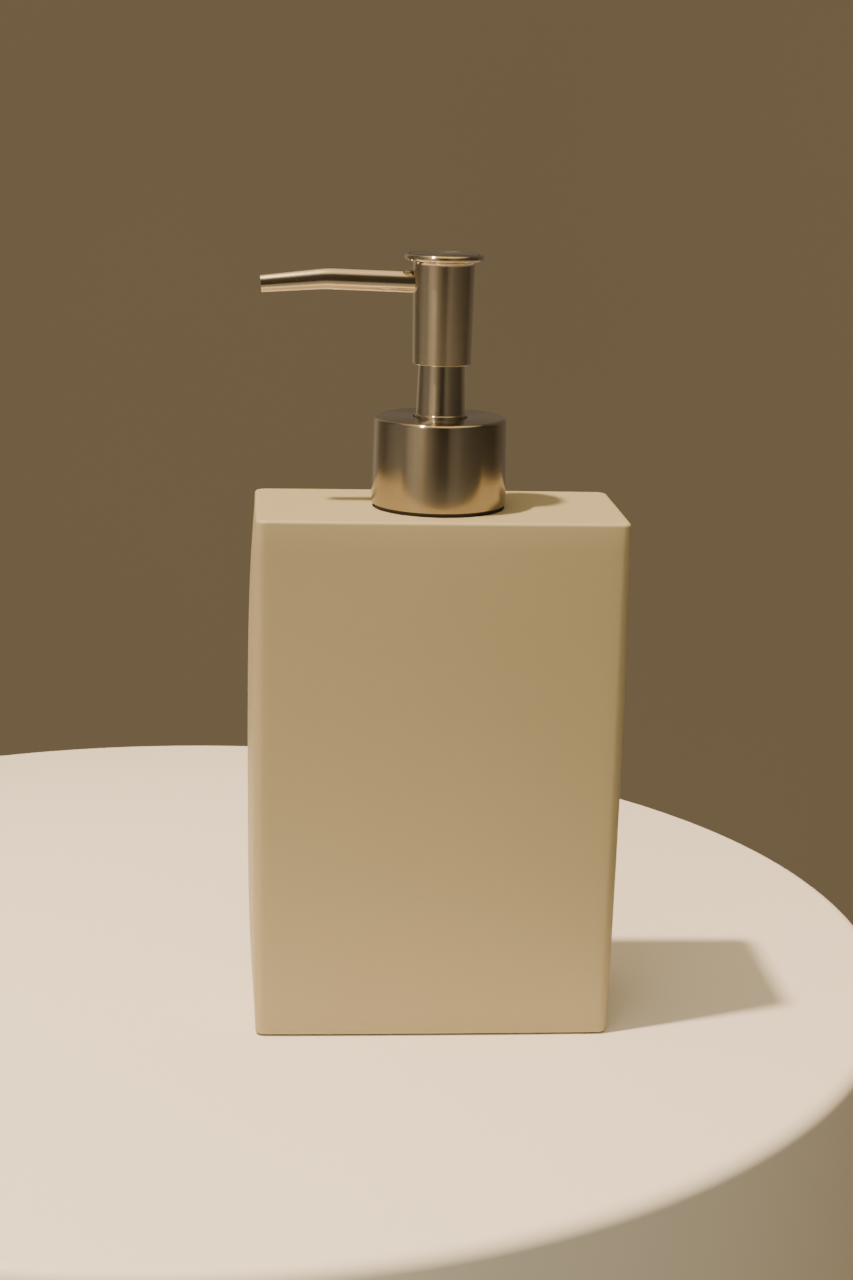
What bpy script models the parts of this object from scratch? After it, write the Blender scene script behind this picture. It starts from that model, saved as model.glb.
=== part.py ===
"""Soap pump dispenser: a hollow cast bottle closed by a screw-on, steel-clad lotion pump.

Metres, +Z up. The origin is the centre of the footprint, on the surface the bottle stands on.
The spout points along -X and the broad front face looks along -Y. Every axis of motion is the
vertical line through the origin. Heights named ..._z are measured from the bottle's top face.
"""

import math

import bmesh
import bpy
from mathutils import Matrix, Vector

# ---- driving sizes: the bottle ----
BODY_WIDTH = 0.0900
BODY_DEPTH = 0.0450
BODY_HEIGHT = 0.1262
CORNER_RADIUS = 0.0025
TOP_EDGE_RADIUS = 0.0008
RIM_EDGE_RADIUS = 0.0006
SIDE_WALL = 0.0050
TOP_WALL = 0.0070
CAVITY_CORNER_RADIUS = 0.0030
REBATE_WIDTH = 0.0015
BASE_PLATE_THICKNESS = 0.0050
PAD_THICKNESS = 0.0010
RIM_LIFT = 0.0004

# ---- driving sizes: neck and thread ----
NECK_HEIGHT = 0.0120
NECK_WALL = 0.0025
NECK_FLANGE_RISE = 0.00075
NECK_FLANGE_SINK = 0.0009
NECK_FLANGE_INSET = 0.00065
THREAD_PITCH = 0.004233
THREAD_DEPTH = 0.00125
THREAD_ROOT_WIDTH = 0.0015
THREAD_TIP_WIDTH = 0.0008
THREAD_START = 0.0030
NECK_THREAD_TURNS = 1.5
CLOSURE_THREAD_TURNS = 1.25

# ---- driving sizes: closure ----
LINER_WALL = 0.0008
LINER_WEB = 0.0015
COLLAR_WALL = 0.0006
COLLAR_DRAFT = 0.0003
COLLAR_EDGE_RADIUS = 0.0010
COLLAR_LIFT = 0.00085
COLLAR_HEADROOM = 0.0065

# ---- driving sizes: pump ----
STROKE = 0.0115
STROKE_MARGIN = 0.0010
CHAMBER_RADIUS = 0.0065
HOUSING_WALL = 0.0015
HOUSING_FLANGE_THICKNESS = 0.0014
GASKET_THICKNESS = 0.0010
STEM_RADIUS = 0.0035
STEM_BORE = 0.0016
STEM_COLLAR_HEIGHT = 0.0015
STEM_COLLAR_WIDTH = 0.0011
STEM_FOOT_THICKNESS = 0.0015
GUIDE_WALL = 0.0010
GUIDE_SKIRT = 0.0110
GUIDE_STOP_DEPTH = 0.0015
GUIDE_SKIRT_BORE = 0.0050
GUIDE_COLLAR_THICKNESS = 0.0022
GUIDE_TOP_INSET = 0.0005
PISTON_HEIGHT = 0.0080
PISTON_LIP = 0.0018
SPRING_RADIUS = 0.0049
SPRING_WIRE = 0.0009
SPRING_TURNS = 8
SPRING_SPARE = 0.0019
RETAINER_THICKNESS = 0.0010
INLET_BALL_RADIUS = 0.0024
INLET_CHAMBER_DEPTH = 0.0050
INLET_CHAMBER_RADIUS = 0.0036
INLET_THROAT_LENGTH = 0.0030
HOUSING_TAPER = 0.0025
TUBE_SOCKET_WALL = 0.0013
OUTLET_BALL_RADIUS = 0.0020
OUTLET_CHAMBER_DEPTH = 0.0057
OUTLET_CHAMBER_RADIUS = 0.0025
STEM_TOP_LAND = 0.0001
TUBE_RADIUS = 0.0030
TUBE_WALL = 0.0008
TUBE_SOCKET_DEPTH = 0.0080
TUBE_END_GAP = 0.0045

# ---- driving sizes: sleeve, head and spout ----
SLEEVE_WALL = 0.00032
SLEEVE_DRAFT = 0.00042
SLEEVE_FOOT = 0.0007
SLEEVE_OVERLAP = 0.0025
HEAD_WALL = 0.0005
HEAD_DRAFT = 0.00035
HEAD_FLARE = 0.0010
RIM_OVERHANG = 0.00208
RIM_ROUND = 0.0007
CORE_TO_SPOUT = 0.0047
SPOUT_TO_TOP = 0.0067
CAP_THICKNESS = 0.0006
CAP_PLUG_DEPTH = 0.0020
SPOUT_RADIUS = 0.0026
SPOUT_TIP_RADIUS = 0.0021
SPOUT_WALL = 0.0004
SPOUT_REACH = 0.0427
SPOUT_BEND_AT = 0.0275
SPOUT_BEND_RADIUS = 0.0250
SPOUT_RISE = math.radians(1.3)
SPOUT_DROP = math.radians(5.4)
SPOUT_LINER_WALL = 0.0006
SPOUT_LINER_RECESS = 0.0020

# ---- clearances ----
FIT = 0.0003
RUN = 0.0003
NECK_DROP_IN = 0.0020
THREAD_CLEARANCE = 0.00035
THREAD_TIP_CLEARANCE = 0.00045
COLLAR_GAP = 0.00025
FLANGE_CLEARANCE = 0.00035

# ---- mesh fineness ----
ROUND_STEPS = 48
SMALL_STEPS = 24
CUT_SPARE = 0.0010

# ---- radii worked out from the sizes above, from the stem outwards ----
guide_bore = STEM_RADIUS + RUN
guide_radius = guide_bore + GUIDE_WALL
sleeve_bore = guide_radius + FIT
sleeve_top_radius = sleeve_bore + SLEEVE_WALL
sleeve_base_radius = sleeve_top_radius + SLEEVE_DRAFT
sleeve_foot_radius = sleeve_base_radius + SLEEVE_WALL
head_radius = sleeve_foot_radius + FIT + HEAD_WALL
head_top_radius = head_radius + HEAD_DRAFT
rim_radius = head_top_radius + RIM_OVERHANG
housing_radius = CHAMBER_RADIUS + HOUSING_WALL
neck_bore = housing_radius + NECK_DROP_IN
neck_radius = neck_bore + NECK_WALL
thread_radius = neck_radius + THREAD_DEPTH
liner_bore = thread_radius + THREAD_CLEARANCE
liner_radius = liner_bore + LINER_WALL
collar_top_radius = liner_radius + COLLAR_GAP + COLLAR_WALL
collar_radius = collar_top_radius + COLLAR_DRAFT
flange_radius = collar_radius - NECK_FLANGE_INSET
spigot_radius = neck_radius + THREAD_DEPTH + NECK_FLANGE_INSET / 4
tube_socket_radius = TUBE_RADIUS + FIT
spout_root = STEM_RADIUS + 2 * FIT

# ---- heights above the bottle's top face ----
body_top = RIM_LIFT + BODY_HEIGHT
gasket_z = NECK_HEIGHT + FIT
housing_flange_z = gasket_z + GASKET_THICKNESS + FIT
housing_top_z = housing_flange_z + HOUSING_FLANGE_THICKNESS
web_z = housing_top_z + FIT
guide_collar_z = web_z + GUIDE_COLLAR_THICKNESS
collar_top_z = housing_top_z + COLLAR_HEADROOM
head_z = collar_top_z + STROKE + STROKE_MARGIN
sleeve_top_z = head_z + SLEEVE_OVERLAP
guide_top_z = sleeve_top_z - GUIDE_TOP_INSET
core_z = sleeve_top_z + STROKE + FIT
spout_z = core_z + CORE_TO_SPOUT
head_top_z = spout_z + SPOUT_TO_TOP
stem_top_z = spout_z - SPOUT_RADIUS - 2 * FIT - STEM_TOP_LAND
skirt_z = housing_top_z - GUIDE_SKIRT
guide_stop_z = skirt_z + GUIDE_STOP_DEPTH
stem_collar_z = guide_stop_z - FIT - STEM_COLLAR_HEIGHT
piston_top_z = stem_collar_z - FIT
piston_z = piston_top_z - PISTON_HEIGHT
spring_top_z = piston_z - FIT
spring_solid = (SPRING_TURNS + 1) * SPRING_WIRE
spring_z = spring_top_z - STROKE - spring_solid - SPRING_SPARE
retainer_z = spring_z - FIT - RETAINER_THICKNESS
chamber_z = retainer_z - FIT
inlet_cone_z = chamber_z - INLET_CHAMBER_DEPTH
inlet_throat_z = inlet_cone_z - (INLET_CHAMBER_RADIUS - STEM_BORE)
tube_top_z = inlet_throat_z - INLET_THROAT_LENGTH - FIT
housing_z = tube_top_z - TUBE_SOCKET_DEPTH
base_plate_top = PAD_THICKNESS + FIT + BASE_PLATE_THICKNESS
tube_end_z = base_plate_top + TUBE_END_GAP - body_top

COLLECTION = "soap_pump_dispenser"


# ---- scene and materials ----
def start_scene():
    for old in list(bpy.data.objects):
        bpy.data.objects.remove(old, do_unlink=True)
    parts = bpy.data.collections.new(COLLECTION)
    cutters = bpy.data.collections.new("cutters")
    cutters.hide_render = True
    bpy.context.scene.collection.children.link(parts)
    bpy.context.scene.collection.children.link(cutters)
    return parts, cutters


def finish_material(name, colour, roughness, metallic=0.0):
    material = bpy.data.materials.new(name)
    material.use_nodes = True
    shader = material.node_tree.nodes["Principled BSDF"]
    shader.inputs["Base Color"].default_value = (*colour, 1.0)
    shader.inputs["Roughness"].default_value = roughness
    shader.inputs["Metallic"].default_value = metallic
    return material


def place_empty(name, height, parent=None):
    empty = bpy.data.objects.new(name, None)
    empty.location = (0.0, 0.0, height)
    empty.parent = parent
    empty.empty_display_size = 0.01
    parts.objects.link(empty)
    return empty


def add_part(name, mesh, material, parent):
    part = bpy.data.objects.new(name, mesh)
    part.parent = parent
    mesh.materials.append(material)
    parts.objects.link(part)
    return part


def add_tool(name, mesh, parent):
    tool = bpy.data.objects.new(name, mesh)
    tool.parent = parent
    tool.hide_render = True
    tool.display_type = "WIRE"
    cutters.objects.link(tool)
    return tool


def combine(part, tool, operation):
    boolean = part.modifiers.new(tool.name, "BOOLEAN")
    boolean.object = tool
    boolean.operation = operation
    boolean.solver = "EXACT"


# ---- shapes ----
def arc(centre_r, centre_z, radius, start, end, pieces=4):
    """Points of a profile arc, from one angle to another in degrees."""
    points = []
    for i in range(pieces + 1):
        angle = math.radians(start + (end - start) * i / pieces)
        points.append((centre_r + radius * math.cos(angle), centre_z + radius * math.sin(angle)))
    return points


def outline_mesh(name, outline, closed):
    mesh = bpy.data.meshes.new(name)
    edges = [(i, i + 1) for i in range(len(outline) - 1)]
    if closed:
        edges.append((len(outline) - 1, 0))
    mesh.from_pydata([(r, 0.0, z) for r, z in outline], edges, [])
    return mesh


def spin_profile(obj, steps=ROUND_STEPS):
    screw = obj.modifiers.new("turn", "SCREW")
    screw.axis = "Z"
    screw.angle = math.tau
    screw.steps = steps
    screw.render_steps = steps
    screw.use_merge_vertices = True
    screw.merge_threshold = 0.00001
    screw.use_smooth_shade = True


def turned(name, outline, material, parent, steps=ROUND_STEPS, closed=True):
    part = add_part(name, outline_mesh(name, outline, closed), material, parent)
    spin_profile(part, steps)
    return part


def ring(name, outer, inner, low, high, material, parent, steps=ROUND_STEPS):
    outline = [(outer, high), (outer, low), (inner, low), (inner, high)]
    return turned(name, outline, material, parent, steps)


def ball(name, radius, height, material, parent):
    bm = bmesh.new()
    bmesh.ops.create_uvsphere(bm, u_segments=20, v_segments=12, radius=radius)
    mesh = bpy.data.meshes.new(name)
    bm.to_mesh(mesh)
    bm.free()
    mesh.shade_smooth()
    part = add_part(name, mesh, material, parent)
    part.location = (0.0, 0.0, height)
    return part


def block_mesh(name, half_x, half_y, low, high, corner, corner_segments=6):
    """A box with rounded vertical edges, standing from low to high."""
    bm = bmesh.new()
    size = Matrix.Diagonal((2 * half_x, 2 * half_y, high - low, 1.0))
    middle = Matrix.Translation((0.0, 0.0, (low + high) / 2))
    bmesh.ops.create_cube(bm, size=1.0, matrix=middle @ size)
    upright = [e for e in bm.edges if abs(e.verts[0].co.z - e.verts[1].co.z) > (high - low) / 2]
    bmesh.ops.bevel(bm, geom=upright, offset=corner, segments=corner_segments, profile=0.5, affect="EDGES")
    mesh = bpy.data.meshes.new(name)
    bm.to_mesh(mesh)
    bm.free()
    return mesh


def round_off_level(mesh, height, radius, segments=3):
    """Rounds every edge that lies at one height."""
    bm = bmesh.new()
    bm.from_mesh(mesh)
    level = [e for e in bm.edges if all(abs(v.co.z - height) < 1e-6 for v in e.verts)]
    bmesh.ops.bevel(bm, geom=level, offset=radius, segments=segments, profile=0.5, affect="EDGES")
    bm.to_mesh(mesh)
    bm.free()


def rod_mesh(name, radius, start, end, steps=SMALL_STEPS):
    """A plain cylinder from one point to another."""
    start, end = Vector(start), Vector(end)
    run = end - start
    turn = run.to_track_quat("Z", "Y").to_matrix().to_4x4()
    bm = bmesh.new()
    bmesh.ops.create_cone(
        bm, cap_ends=True, segments=steps, radius1=radius, radius2=radius, depth=run.length,
        matrix=Matrix.Translation((start + end) / 2) @ turn,
    )
    mesh = bpy.data.meshes.new(name)
    bm.to_mesh(mesh)
    bm.free()
    return mesh


def thread_mesh(name, root_radius, tip_radius, middle_z, first_angle, turns):
    """A helical ridge of trapezoid section, right-handed, standing from root_radius to tip_radius."""
    root, tip = THREAD_ROOT_WIDTH / 2, THREAD_TIP_WIDTH / 2
    section = [(root_radius, -root), (tip_radius, -tip), (tip_radius, tip), (root_radius, root)]
    bm = bmesh.new()
    corners = [bm.verts.new((r, 0.0, middle_z + z)) for r, z in section]
    face = bm.faces.new(corners)
    bmesh.ops.rotate(bm, verts=corners, cent=(0, 0, 0), matrix=Matrix.Rotation(first_angle, 3, "Z"))
    steps = round(turns * ROUND_STEPS)
    bmesh.ops.spin(
        bm, geom=[face, *face.edges, *corners], cent=(0, 0, 0), axis=(0, 0, 1),
        dvec=(0, 0, THREAD_PITCH / ROUND_STEPS), angle=turns * math.tau, steps=steps,
        use_merge=False, use_duplicate=False,
    )
    bmesh.ops.recalc_face_normals(bm, faces=bm.faces)
    mesh = bpy.data.meshes.new(name)
    bm.to_mesh(mesh)
    bm.free()
    return mesh


def tube_curve(name, points, radii, sides_level):
    """A solid round bar along points, as a curve with a bevel, whose radius follows radii."""
    curve = bpy.data.curves.new(name, "CURVE")
    curve.dimensions = "3D"
    curve.bevel_depth = 1.0
    curve.bevel_resolution = sides_level
    curve.use_fill_caps = True
    spline = curve.splines.new("POLY")
    spline.points.add(len(points) - 1)
    for spot, point, radius in zip(spline.points, points, radii):
        spot.co = (*point, 1.0)
        spot.radius = radius
    return curve


def curve_to_mesh(name, curve):
    """The curve's mesh with its caps welded on."""
    holder = bpy.data.objects.new(name + "_route", curve)
    cutters.objects.link(holder)
    graph = bpy.context.evaluated_depsgraph_get()
    mesh = bpy.data.meshes.new_from_object(holder.evaluated_get(graph))
    bpy.data.objects.remove(holder, do_unlink=True)
    bm = bmesh.new()
    bm.from_mesh(mesh)
    bmesh.ops.remove_doubles(bm, verts=bm.verts, dist=0.000001)
    bmesh.ops.recalc_face_normals(bm, faces=bm.faces)
    bm.to_mesh(mesh)
    bm.free()
    mesh.name = name
    return mesh


# ---- bottle ----
def make_bottle_body():
    mesh = block_mesh(
        "bottle_body", BODY_WIDTH / 2, BODY_DEPTH / 2, RIM_LIFT, body_top, CORNER_RADIUS
    )
    round_off_level(mesh, body_top, TOP_EDGE_RADIUS)
    round_off_level(mesh, RIM_LIFT, RIM_EDGE_RADIUS, segments=2)
    body = add_part("bottle_body", mesh, cast_resin, bottle_frame)
    cavity_x = BODY_WIDTH / 2 - SIDE_WALL
    cavity_y = BODY_DEPTH / 2 - SIDE_WALL
    cavity = block_mesh(
        "cavity", cavity_x, cavity_y, -CUT_SPARE, body_top - TOP_WALL, CAVITY_CORNER_RADIUS, 3
    )
    combine(body, add_tool("cavity", cavity, bottle_frame), "DIFFERENCE")
    rebate = block_mesh(
        "rebate", cavity_x + REBATE_WIDTH, cavity_y + REBATE_WIDTH, -2 * CUT_SPARE,
        base_plate_top + FIT, CAVITY_CORNER_RADIUS + REBATE_WIDTH, 3,
    )
    combine(body, add_tool("rebate", rebate, bottle_frame), "DIFFERENCE")
    seat = flange_radius + FLANGE_CLEARANCE
    hole = spigot_radius + FIT
    seat_z = -NECK_FLANGE_SINK - FIT
    outline = [(0, CUT_SPARE), (seat, CUT_SPARE), (seat, seat_z), (hole, seat_z)]
    outline += [(hole, -TOP_WALL - CUT_SPARE), (0, -TOP_WALL - CUT_SPARE)]
    neck_hole = add_tool("neck_hole", outline_mesh("neck_hole", outline, False), pump_frame)
    spin_profile(neck_hole)
    combine(body, neck_hole, "DIFFERENCE")


def make_base():
    half_x = BODY_WIDTH / 2 - SIDE_WALL + REBATE_WIDTH - FIT
    half_y = BODY_DEPTH / 2 - SIDE_WALL + REBATE_WIDTH - FIT
    corner = CAVITY_CORNER_RADIUS + REBATE_WIDTH - FIT
    plate = block_mesh(
        "base_plate", half_x, half_y, PAD_THICKNESS + FIT, base_plate_top, corner, 3
    )
    add_part("base_plate", plate, base_resin, bottle_frame)
    pad = block_mesh("base_pad", half_x, half_y, 0.0, PAD_THICKNESS, corner, 3)
    add_part("base_pad", pad, pad_foam, bottle_frame)


def make_neck_insert():
    foot_z = -TOP_WALL + FIT
    outline = [(neck_radius, NECK_HEIGHT), (neck_radius, NECK_FLANGE_RISE)]
    outline += [(flange_radius, NECK_FLANGE_RISE), (flange_radius, -NECK_FLANGE_SINK)]
    outline += [(spigot_radius, -NECK_FLANGE_SINK), (spigot_radius, foot_z)]
    outline += [(neck_bore, foot_z), (neck_bore, NECK_HEIGHT)]
    insert = turned("neck_insert", outline, black_plastic, pump_frame)
    ridge = thread_mesh(
        "neck_thread", neck_radius - NECK_WALL / 4, thread_radius, THREAD_START, 0.0,
        NECK_THREAD_TURNS,
    )
    combine(insert, add_tool("neck_thread", ridge, pump_frame), "UNION")


# ---- closure ----
def make_closure_liner():
    top = collar_top_z - COLLAR_WALL - FIT
    low = NECK_FLANGE_RISE + THREAD_CLEARANCE
    web_hole = housing_radius + 3 * FIT
    outline = [(liner_radius, top), (liner_radius, low), (liner_bore, low), (liner_bore, web_z)]
    outline += [(web_hole, web_z), (web_hole, web_z + LINER_WEB)]
    outline += [(liner_bore, web_z + LINER_WEB), (liner_bore, top)]
    liner = turned("closure_liner", outline, white_plastic, closure_frame)
    first_angle = -math.pi / 2
    middle_z = THREAD_START + THREAD_PITCH / 2 + THREAD_PITCH * first_angle / math.tau
    ridge = thread_mesh(
        "closure_thread", liner_bore + LINER_WALL / 2, neck_radius + THREAD_TIP_CLEARANCE, middle_z,
        first_angle, CLOSURE_THREAD_TURNS,
    )
    combine(liner, add_tool("closure_thread", ridge, closure_frame), "UNION")


def make_collar_shell():
    top, edge = collar_top_z, COLLAR_EDGE_RADIUS
    hole = sleeve_foot_radius + FIT
    outline = [(hole, top)]
    outline += arc(collar_top_radius - edge, top - edge, edge, 90, 0)
    outline += [(collar_radius, COLLAR_LIFT), (collar_radius - COLLAR_WALL, COLLAR_LIFT)]
    outline += [(collar_top_radius - COLLAR_WALL, top - COLLAR_WALL), (hole, top - COLLAR_WALL)]
    turned("collar_shell", outline, steel, closure_frame)


# ---- pump ----
def make_pump_housing():
    flange = neck_radius - FIT
    waist = INLET_CHAMBER_RADIUS + HOUSING_WALL
    socket = tube_socket_radius + TUBE_SOCKET_WALL
    step = HOUSING_WALL / 3
    outline = [(flange, housing_top_z), (flange, housing_flange_z)]
    outline += [(housing_radius, housing_flange_z), (housing_radius, chamber_z - step)]
    outline += [(waist, chamber_z - step - HOUSING_TAPER), (waist, tube_top_z - step)]
    outline += [(socket, tube_top_z - 2 * step), (socket, housing_z)]
    outline += [(tube_socket_radius, housing_z), (tube_socket_radius, tube_top_z + FIT)]
    outline += [(STEM_BORE, tube_top_z + FIT), (STEM_BORE, inlet_throat_z)]
    outline += [(INLET_CHAMBER_RADIUS, inlet_cone_z), (INLET_CHAMBER_RADIUS, chamber_z)]
    outline += [(CHAMBER_RADIUS, chamber_z), (CHAMBER_RADIUS, housing_top_z)]
    turned("pump_housing", outline, clear_plastic, pump_frame)


def make_gasket():
    inner = housing_radius + NECK_DROP_IN / 2
    ring(
        "neck_gasket", neck_radius - FIT, inner, gasket_z, gasket_z + GASKET_THICKNESS,
        soft_rubber, pump_frame,
    )


def make_guide_cap():
    skirt = CHAMBER_RADIUS - FIT
    collar = housing_radius + FIT
    outline = [(guide_radius, guide_top_z), (guide_radius, guide_collar_z)]
    outline += [(collar, guide_collar_z), (collar, web_z), (skirt, web_z), (skirt, skirt_z)]
    outline += [(GUIDE_SKIRT_BORE, skirt_z), (GUIDE_SKIRT_BORE, guide_stop_z)]
    outline += [(guide_bore, guide_stop_z), (guide_bore, guide_top_z)]
    turned("guide_cap", outline, white_plastic, pump_frame)


def make_neck_sleeve():
    foot_z = collar_top_z + FIT
    low = guide_collar_z + FIT
    outline = [(sleeve_top_radius, sleeve_top_z), (sleeve_base_radius, foot_z + SLEEVE_FOOT)]
    outline += arc(
        sleeve_foot_radius, foot_z + SLEEVE_FOOT, sleeve_foot_radius - sleeve_base_radius, 180, 270, 3
    )[1:]
    outline += [(sleeve_foot_radius, low), (sleeve_bore, low), (sleeve_bore, sleeve_top_z)]
    turned("neck_sleeve", outline, steel, pump_frame)


def make_valve_and_tube():
    ring(
        "ball_retainer", CHAMBER_RADIUS - FIT, STEM_BORE, retainer_z,
        retainer_z + RETAINER_THICKNESS, white_plastic, pump_frame, SMALL_STEPS,
    )
    rest = inlet_throat_z - STEM_BORE + (INLET_BALL_RADIUS + FIT) * math.sqrt(2)
    ball("inlet_ball", INLET_BALL_RADIUS, rest, polished_steel, inlet_frame)
    tube = ring(
        "dip_tube", TUBE_RADIUS, TUBE_RADIUS - TUBE_WALL, tube_end_z, tube_top_z,
        clear_plastic, pump_frame, SMALL_STEPS,
    )
    reach = 2 * TUBE_RADIUS
    wedge = block_mesh("tube_bevel", reach, reach, -2 * reach, 0.0, TUBE_WALL, 1)
    slant = Matrix.Translation((0, 0, tube_end_z + TUBE_RADIUS)) @ Matrix.Rotation(math.pi / 4, 4, "Y")
    wedge.transform(slant)
    combine(tube, add_tool("tube_bevel", wedge, pump_frame), "DIFFERENCE")


def make_spring():
    """A compression spring with one closed turn at each end."""
    low = spring_z + SPRING_WIRE / 2
    high = spring_top_z - SPRING_WIRE / 2
    per_turn = 12
    count = SPRING_TURNS * per_turn
    closed_rise = SPRING_WIRE * 1.05
    free_rise = (high - low - 2 * closed_rise) / (SPRING_TURNS - 2)
    points = []
    for i in range(count + 1):
        turn = i / per_turn
        start = min(turn, 1.0) * closed_rise
        middle = min(max(turn - 1.0, 0.0), SPRING_TURNS - 2.0) * free_rise
        end = max(turn - (SPRING_TURNS - 1.0), 0.0) * closed_rise
        angle = turn * math.tau
        spot = (SPRING_RADIUS * math.cos(angle), SPRING_RADIUS * math.sin(angle))
        points.append((*spot, low + start + middle + end))
    curve = tube_curve("pump_spring", points, [SPRING_WIRE / 2] * len(points), 1)
    add_part("pump_spring", curve_to_mesh("pump_spring", curve), spring_steel, pump_frame)


def make_piston():
    outer = CHAMBER_RADIUS - RUN
    waist = outer - PISTON_LIP / 2
    bore = STEM_RADIUS + RUN
    outline = [(outer, piston_top_z), (outer, piston_top_z - PISTON_LIP)]
    outline += [(waist, piston_top_z - 1.5 * PISTON_LIP), (waist, piston_z + 1.5 * PISTON_LIP)]
    outline += [(outer, piston_z + PISTON_LIP), (outer, piston_z)]
    outline += [(bore, piston_z), (bore, piston_top_z)]
    turned("piston", outline, soft_plastic, plunger_frame)


# ---- head ----
def make_stem():
    foot = SPRING_RADIUS - SPRING_WIRE / 2 - FIT
    shoulder = STEM_RADIUS + STEM_COLLAR_WIDTH
    ball_bore = OUTLET_CHAMBER_RADIUS
    seat_z = stem_top_z - OUTLET_CHAMBER_DEPTH
    foot_z = spring_top_z - STEM_FOOT_THICKNESS
    outline = [(STEM_RADIUS, stem_top_z), (STEM_RADIUS, stem_collar_z + STEM_COLLAR_HEIGHT)]
    outline += [(shoulder, stem_collar_z + STEM_COLLAR_HEIGHT), (shoulder, stem_collar_z)]
    outline += [(STEM_RADIUS, stem_collar_z), (STEM_RADIUS, spring_top_z)]
    outline += [(foot, spring_top_z), (foot, foot_z), (STEM_BORE, foot_z)]
    outline += [(STEM_BORE, seat_z - (ball_bore - STEM_BORE)), (ball_bore, seat_z)]
    outline += [(ball_bore, stem_top_z)]
    turned("stem", outline, white_plastic, head_frame, SMALL_STEPS * 4 // 3)
    apex_z = seat_z - ball_bore
    rest = apex_z + (OUTLET_BALL_RADIUS + FIT) * math.sqrt(2)
    ball("outlet_ball", OUTLET_BALL_RADIUS, rest, polished_steel, outlet_frame)


def spout_stations(start_x, extra=0.0):
    """(distance along the centre line, point, share of the way down the taper) from start_x to the tip."""
    turn_all = SPOUT_RISE + SPOUT_DROP
    bend_x = SPOUT_BEND_AT - SPOUT_BEND_RADIUS * math.tan(turn_all / 2)
    bend_z = spout_z + (bend_x - spout_root) * math.tan(SPOUT_RISE)
    start_z = spout_z + (start_x - extra - spout_root) * math.tan(SPOUT_RISE)
    spots = [(start_x - extra, start_z), (bend_x, bend_z)]
    centre_x = bend_x + SPOUT_BEND_RADIUS * math.sin(SPOUT_RISE)
    centre_z = bend_z - SPOUT_BEND_RADIUS * math.cos(SPOUT_RISE)
    pieces = 5
    for i in range(1, pieces + 1):
        lean = turn_all * i / pieces - SPOUT_RISE
        spots.append((
            centre_x + SPOUT_BEND_RADIUS * math.sin(lean),
            centre_z + SPOUT_BEND_RADIUS * math.cos(lean),
        ))
    last_x, last_z = spots[-1]
    tip_x = SPOUT_REACH + extra * math.cos(SPOUT_DROP)
    spots.append((tip_x, last_z - (tip_x - last_x) * math.tan(SPOUT_DROP)))
    shares = [min(max((x - bend_x) / (SPOUT_REACH - bend_x), 0.0), 1.0) for x, _ in spots]
    return [(-x, 0.0, z) for x, z in spots], shares


def spout_bar(name, start_x, inset, extra=0.0, shortened=0.0):
    """The spout's solid bar, its radius taken in by inset, longer or shorter at its ends."""
    points, shares = spout_stations(start_x, extra)
    if shortened:
        along = (Vector(points[-2]) - Vector(points[-1])).normalized()
        points[-1] = tuple(Vector(points[-1]) + along * shortened)
    taper = SPOUT_RADIUS - SPOUT_TIP_RADIUS
    radii = [SPOUT_RADIUS - taper * share - inset for share in shares]
    return curve_to_mesh(name, tube_curve(name, points, radii, 6))


def make_spout():
    start_x = spout_root
    tube = add_part("spout_tube", spout_bar("spout_tube", start_x, 0.0), steel, head_frame)
    bore = spout_bar("spout_bore", start_x, SPOUT_WALL, CUT_SPARE)
    combine(tube, add_tool("spout_bore", bore, head_frame), "DIFFERENCE")
    inset = SPOUT_WALL + FIT
    liner_bar = spout_bar("spout_liner", start_x + FIT, inset, 0.0, SPOUT_LINER_RECESS)
    liner = add_part("spout_liner", liner_bar, white_plastic, head_frame)
    way = spout_bar("spout_way", start_x, inset + SPOUT_LINER_WALL, CUT_SPARE)
    combine(liner, add_tool("spout_way", way, head_frame), "DIFFERENCE")


def make_head_core():
    radius = head_radius - HEAD_WALL + (head_top_radius - head_radius) / 2 - FIT
    socket = STEM_RADIUS + FIT
    top = head_top_z - CAP_PLUG_DEPTH - FIT
    outline = [(0.0, top), (radius, top), (radius, core_z), (socket, core_z)]
    outline += [(socket, stem_top_z + FIT), (STEM_BORE, stem_top_z + FIT)]
    outline += [(STEM_BORE, spout_z), (0.0, spout_z)]
    core = turned("head_core", outline, white_plastic, head_frame, ROUND_STEPS, closed=False)
    start_x = spout_root
    socket_rod = rod_mesh(
        "spout_socket", SPOUT_RADIUS + FIT, (-2 * head_radius, 0, spout_z), (FIT - start_x, 0, spout_z)
    )
    way = rod_mesh(
        "core_way", SPOUT_RADIUS - SPOUT_WALL - SPOUT_LINER_WALL, (-head_radius, 0, spout_z),
        (STEM_BORE / 4, 0, spout_z),
    )
    combine(core, add_tool("spout_socket", socket_rod, head_frame), "DIFFERENCE")
    combine(core, add_tool("core_way", way, head_frame), "DIFFERENCE")


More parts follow.
